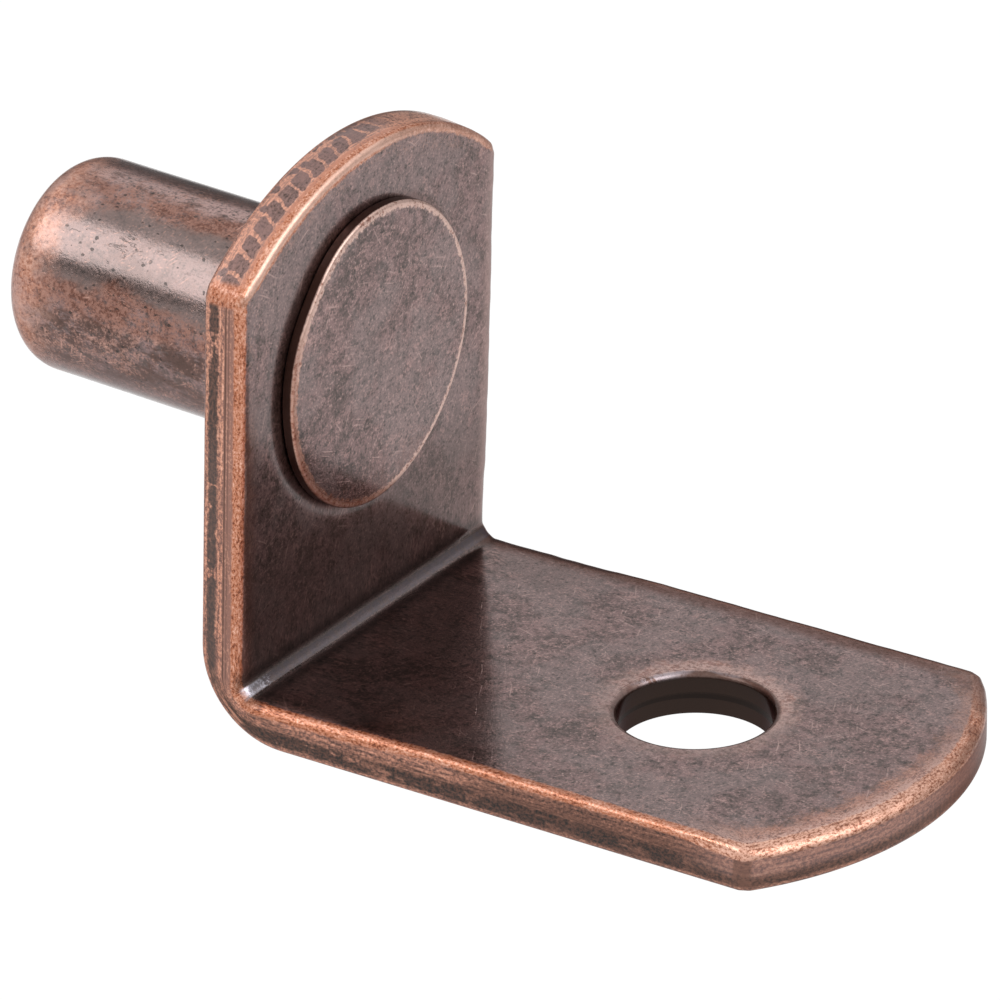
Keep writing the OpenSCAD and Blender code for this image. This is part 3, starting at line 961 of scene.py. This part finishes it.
def shank(at):
    """The shank: dusky clouds, soot blotches, copper rubs, scratches and black pits, painted paler along
    its top and painted shade along its underside and its upper back edge. The stripe where the lamp's
    sheen falls is painted grey, with dark reddish painted reflection along both sides of it. Its end
    is rubbed to copper. Returns its colour, and shares for the flaws and the rubbed end."""
    grain, mottle, fine, patches, warmth = at.grain, at.mottle, at.fine, at.patches, at.warmth
    soot = at.spot.drawn((0.5, 1.0, 1.0), 5.0, 0.75, scale=0.9, move=(3, 1, 2))
    upward = (at.z * 0.67 - at.y * 0.74) / pin_r + (warmth - 0.5) * 0.30
    # the stripe where the left lamp's sheen falls, painted grey to colour that sheen
    sheen_stripe = upward.rise(0.88, 0.96)
    # painted reflection: dark reddish bands either side of the sheen stripe
    beside = upward.band(0.86, 0.04, 0.09)
    # painted light and shade: paler on the shank's top, darker on its underside, ragged by patches
    light_and_shade_height = at.z + (patches - 0.5) * 4.0
    pale, dusky = light_and_shade_height.rise(0.0, 2.2), light_and_shade_height.rise(-0.2, -2.0)
    rubs = (warmth * 0.50 + mottle * 0.30 + grain * 0.20).rise(0.49, 0.57)
    rub_colour = mix(mix(RUST, ROSE, 0.5), mix(ORANGE, PALE, 0.6), grain.rise(0.42, 0.56))
    dark_reflection = mix(mix(BROWN, DARK_RED, 0.5), mix(RUST, ROSE, 0.5), fine.rise(0.42, 0.56))
    # painted shade: a dark reddish band along the shank's upper back edge
    upper_edge_shade = (at.z * 0.86 + at.y * 0.50) * (1 / pin_r) + (warmth - 0.5) * 0.2
    scratches = strokes(at.spot, PIN_LEANS, 1.1, 0.09, 0.30, "3D")
    away, chance = at.spot.stretch((4.5, 5.5, 5.5)).cells("3D")
    pits = (away + (mottle - 0.5) * 0.9).rise(0.26, 0.14) * chance.rise(0.60, 0.75)
    cracks = at.spot.drawn((0.55, 1.6, 1.6), 4.0, 0.7, move=(5, 5, 5))
    cracks = cracks.band(0.5, 0.004, 0.012) * patches.rise(0.50, 0.60) * 0.7
    flaws = pits.most(cracks)
    end = (at.x + (warmth - 0.5) * 3.6).rise(-pin_l + 2.1, -pin_l + 0.6)
    rubbed_end = mix(mix(at.copper, ROSE, 0.3), mix(PINK, GLEAM, 0.2), patches.rise(0.40, 0.60) * 0.6)
    colour = layered(
        mix(SLATE, MAUVE, (patches * 0.5 + mottle * 0.5).rise(0.40, 0.56)),
        # painted light: paler patches on the shank's top
        (mix(PALE, PINK, 0.5), pale * (0.34 + 0.58 * fine.rise(0.40, 0.56))),
        (BLACK, (grain * 0.6 + mottle * 0.4).rise(0.47, 0.32) * 0.65),
        (mix(BROWN, BLACK, 0.35), (soot * 0.8 + mottle * 0.2).rise(0.47, 0.56) * (0.85 - 0.4 * sheen_stripe)),
        (rub_colour, rubs * (0.62 - 0.42 * sheen_stripe)),
        # painted reflection: dark reddish bands either side of the sheen
        (dark_reflection, beside * (soot * 0.5 + fine * 0.5).rise(0.38, 0.52) * 0.9),
        # the sheen stripe painted grey
        (mix(GREY, SLATE, 0.55), sheen_stripe * 0.70),
        # painted shade along the shank's upper back edge
        (mix(BROWN, DARK_RED, 0.25), upper_edge_shade.rise(0.84, 0.97) * 0.55),
        # painted shade: darker patches on the shank's underside
        (mix(mix(BROWN, DARK_RED, 0.3), SLATE, 0.6), dusky * (0.35 + 0.40 * fine.rise(0.60, 0.42))),
        (mix(TAN, PALE, 0.5), scratches * warmth.rise(0.40, 0.56) * (0.8 - 0.4 * sheen_stripe)),
        (BLACK, flaws * 0.75),
        (rubbed_end, end * (0.55 + 0.40 * at.copper_grain.rise(0.42, 0.52))))
    return colour, flaws, end


def riveted_head(at):
    """The head: a face as on the bracket, redder low down, a copper rim that widens down to the left,
    and a wall painted dark as shade. Returns its colour and height."""
    face, height = tumbled_face(at.upright)
    ragged = at.spot.noise(5.0, 4.0, 0.75) - 0.5
    low_left = (0 - at.y - at.z * 0.8).rise(0.5, 4.5)
    low = (0 - at.z + ragged * 3.5).rise(2.6, 4.4)
    rim = (at.past_rim + ragged * 0.45 - low_left * 0.05).rise(0.15, 0.06)
    rim_colour = layered(
        mix(ROSE, RUST, 0.4),
        (mix(GLEAM, PINK, 0.4), at.copper_grain.rise(0.38, 0.54)),
        (mix(at.copper, DARK_RED, 0.4), low_left * 0.7))
    colour = layered(
        face,
        (mix(DARK_RED, BROWN, 0.4), low * at.patches.rise(0.35, 0.55) * 0.35),
        (rim_colour, rim * 0.9),
        # painted shade: the head's side wall behind the rim, painted near black
        (mix(BLACK, BROWN, 0.65), (at.past_rim + ragged * 0.10).rise(-0.10, -0.18)))
    return colour, height


def pin_finish():
    """The shank and the riveted head, which part inside the leg."""
    shader = Shader(bpy.data.materials.new("antique_copper_pin"))
    at = SimpleNamespace(spot=shader.place().stretch((1, 1, 1), FACE_MOVE))
    at.x, at.y, at.z = shader.place().parts()
    at.upright = shader.node("CombineXYZ", None, {0: at.y, 1: at.z, 2: 0.0})
    at.past_rim = shader.place("edge").parts()[1] - face_walk
    at.grain = at.spot.noise(11.0, 2.0, 0.7)
    at.mottle = at.spot.noise(4.0, 4.0, 0.78)
    at.fine = at.mottle * 0.5 + at.grain * 0.5
    at.patches = at.spot.noise(1.1, 5.0, 0.72)
    at.warmth = at.spot.drawn((0.7, 1.0, 1.0), 5.0, 0.70, scale=0.62)
    at.copper, at.copper_grain = copper_colour(at.spot, 0.04)

    shank_colour, flaws, end = shank(at)
    head_colour, head_height = riveted_head(at)
    on_head = at.x.rise(0.5, 1.0)
    colour = mix(shank_colour, head_colour, on_head)
    sockets = {0: on_head, 2: at.grain * 0.8 - flaws, 3: head_height}
    normal = shader.node("Mix", {"data_type": "FLOAT"}, sockets).bump(0.006)
    shank_rough = (end * 0.22 + (at.fine - 0.5) * 0.5) * (1 - on_head)
    head_rough = on_head * (0.06 + 0.14 * at.past_rim.rise(0.10, 0.0))
    fixed = {**LACQUER, "Coat Weight": lacquer_weight}
    return shader.finish(fixed, Base_Color=colour, Roughness=0.20 + shank_rough + head_rough, Normal=normal)


for piece, node, finish in ((bracket_piece, "bracket", bracket_finish()), (pin_piece, "pin", pin_finish())):
    piece.data.materials.append(finish)
    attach(piece, "root")
    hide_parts(node)


# --- Floor, lights and camera ---------------------------------------------------------------------
WHITE = (1, 1, 1, 1)
floor_below = 25.0           # the part hangs this far above the floor
floor_half = 150.0
floor_grey = (0.95, 0.95, 0.95, 1)
floor_glow = 1.05            # strength at which the floor is seen as white
shadow_left = 0.2            # share of a shadow that the seen floor keeps


def rays(shader):
    """1 for rays straight from the camera, and 1 for rays that show the background: straight from the
    camera, or by way of the metal."""
    names = "Is Camera Ray", "Is Glossy Ray", "Is Transmission Ray"
    camera, glossy, through = shader.node("LightPath").outs(names)
    return camera, camera.most(glossy).most(through)


def make_floor():
    """A wide plain sheet that seems white, and keeps a part of the shadow that falls on it."""
    data = bpy.data.meshes.new("floor")
    corners = stacked(np.array([-1, 1, 1, -1]) * floor_half, np.array([-1, -1, 1, 1]) * floor_half,
                      bracket_low.z - floor_below)
    data.from_pydata(corners * MM, [], [(0, 1, 2, 3)])
    floor = put("floor", data)
    shader = Shader(bpy.data.materials.new("white_floor"))
    lit = shader.node("BsdfDiffuse", None, {"Color": floor_grey})
    white = shader.node("Emission", None, {"Color": WHITE, "Strength": floor_glow})
    _, seen = rays(shader)
    both = shader.node("MixShader", None, {0: seen * (1 - shadow_left), 1: lit, 2: white})
    shader.node("OutputMaterial", None, {"Surface": both})
    data.materials.append(shader.owner)


def make_world():
    """A pale room, brightest up and to the front and left, where its light comes from, with a dark
    strip beside that light and a dusky stretch low down behind."""
    world = bpy.data.worlds.new("studio")
    bpy.context.scene.world = world
    shader = Shader(world)
    way = shader.node("TexCoord", out="Generated")
    x, y, z = way.parts()
    room = 0.54 + 0.46 * way.along((-0.35, -0.35, 0.87)).rise(-0.10, 0.32)
    strip = way.along((0, 0.407, 0.914)).band(0.0, 0.08, 0.04)
    strip = strip * (0 - y).rise(0.3, 0.5) * x.rise(0.1, -0.2)
    horizon = z.rise(0.43, 0.30) * x.rise(-0.26, -0.42) * y.rise(0.15, 0.6)
    room = room * (1 - 0.7 * strip) * (1 - 0.5 * horizon)
    camera, seen = rays(shader)
    strength = (room * (0.8 + 0.2 * seen)).most(camera)
    lit = shader.node("Background", None, {"Color": WHITE, "Strength": strength})
    shader.node("OutputWorld", None, {"Surface": lit})


def make_lamp(name, direction, distance, width, height, power):
    """A soft box: an area lamp that faces the part from that direction."""
    data = bpy.data.lights.new(name, "AREA")
    data.shape, data.size, data.size_y = "RECTANGLE", width * MM, height * MM
    data.energy = power
    lamp = put(name, data)
    out = Vector(direction).normalized()
    lamp.location = out * distance * MM
    lamp.rotation_euler = out.to_track_quat("Z", "Y").to_euler()


def make_camera():
    """Looks down on the part from its near side, over its arm, with a long lens."""
    azimuth, elevation, roll = (math.radians(a) for a in (32.872, 27.529, 1.642))
    aim, distance = Vector((6.847, -1.661, -2.207)), 220.0
    back = Vector((math.sin(azimuth) * math.cos(elevation), -math.cos(azimuth) * math.cos(elevation),
                   math.sin(elevation)))
    level = Vector((math.cos(azimuth), math.sin(azimuth), 0))
    upright = back.cross(level)
    right = level * math.cos(roll) + upright * math.sin(roll)
    up = upright * math.cos(roll) - level * math.sin(roll)
    data = bpy.data.cameras.new("view")
    data.lens, data.sensor_width = 284.5, 36.0
    data.clip_start = 0.01
    camera = put("view", data)
    place = Matrix((right, up, back)).transposed().to_4x4()
    place.translation = (aim + back * distance) * MM
    camera.matrix_world = place
    bpy.context.scene.camera = camera


make_floor()
make_world()
make_lamp("left_soft_box", (-0.48, -0.585, 0.654), distance=400, width=300, height=230, power=0.42)
make_lamp("right_soft_box", (0.75, 0.04, 0.66), distance=400, width=320, height=280, power=0.55)
make_camera()
bpy.context.scene.view_settings.view_transform = "Standard"
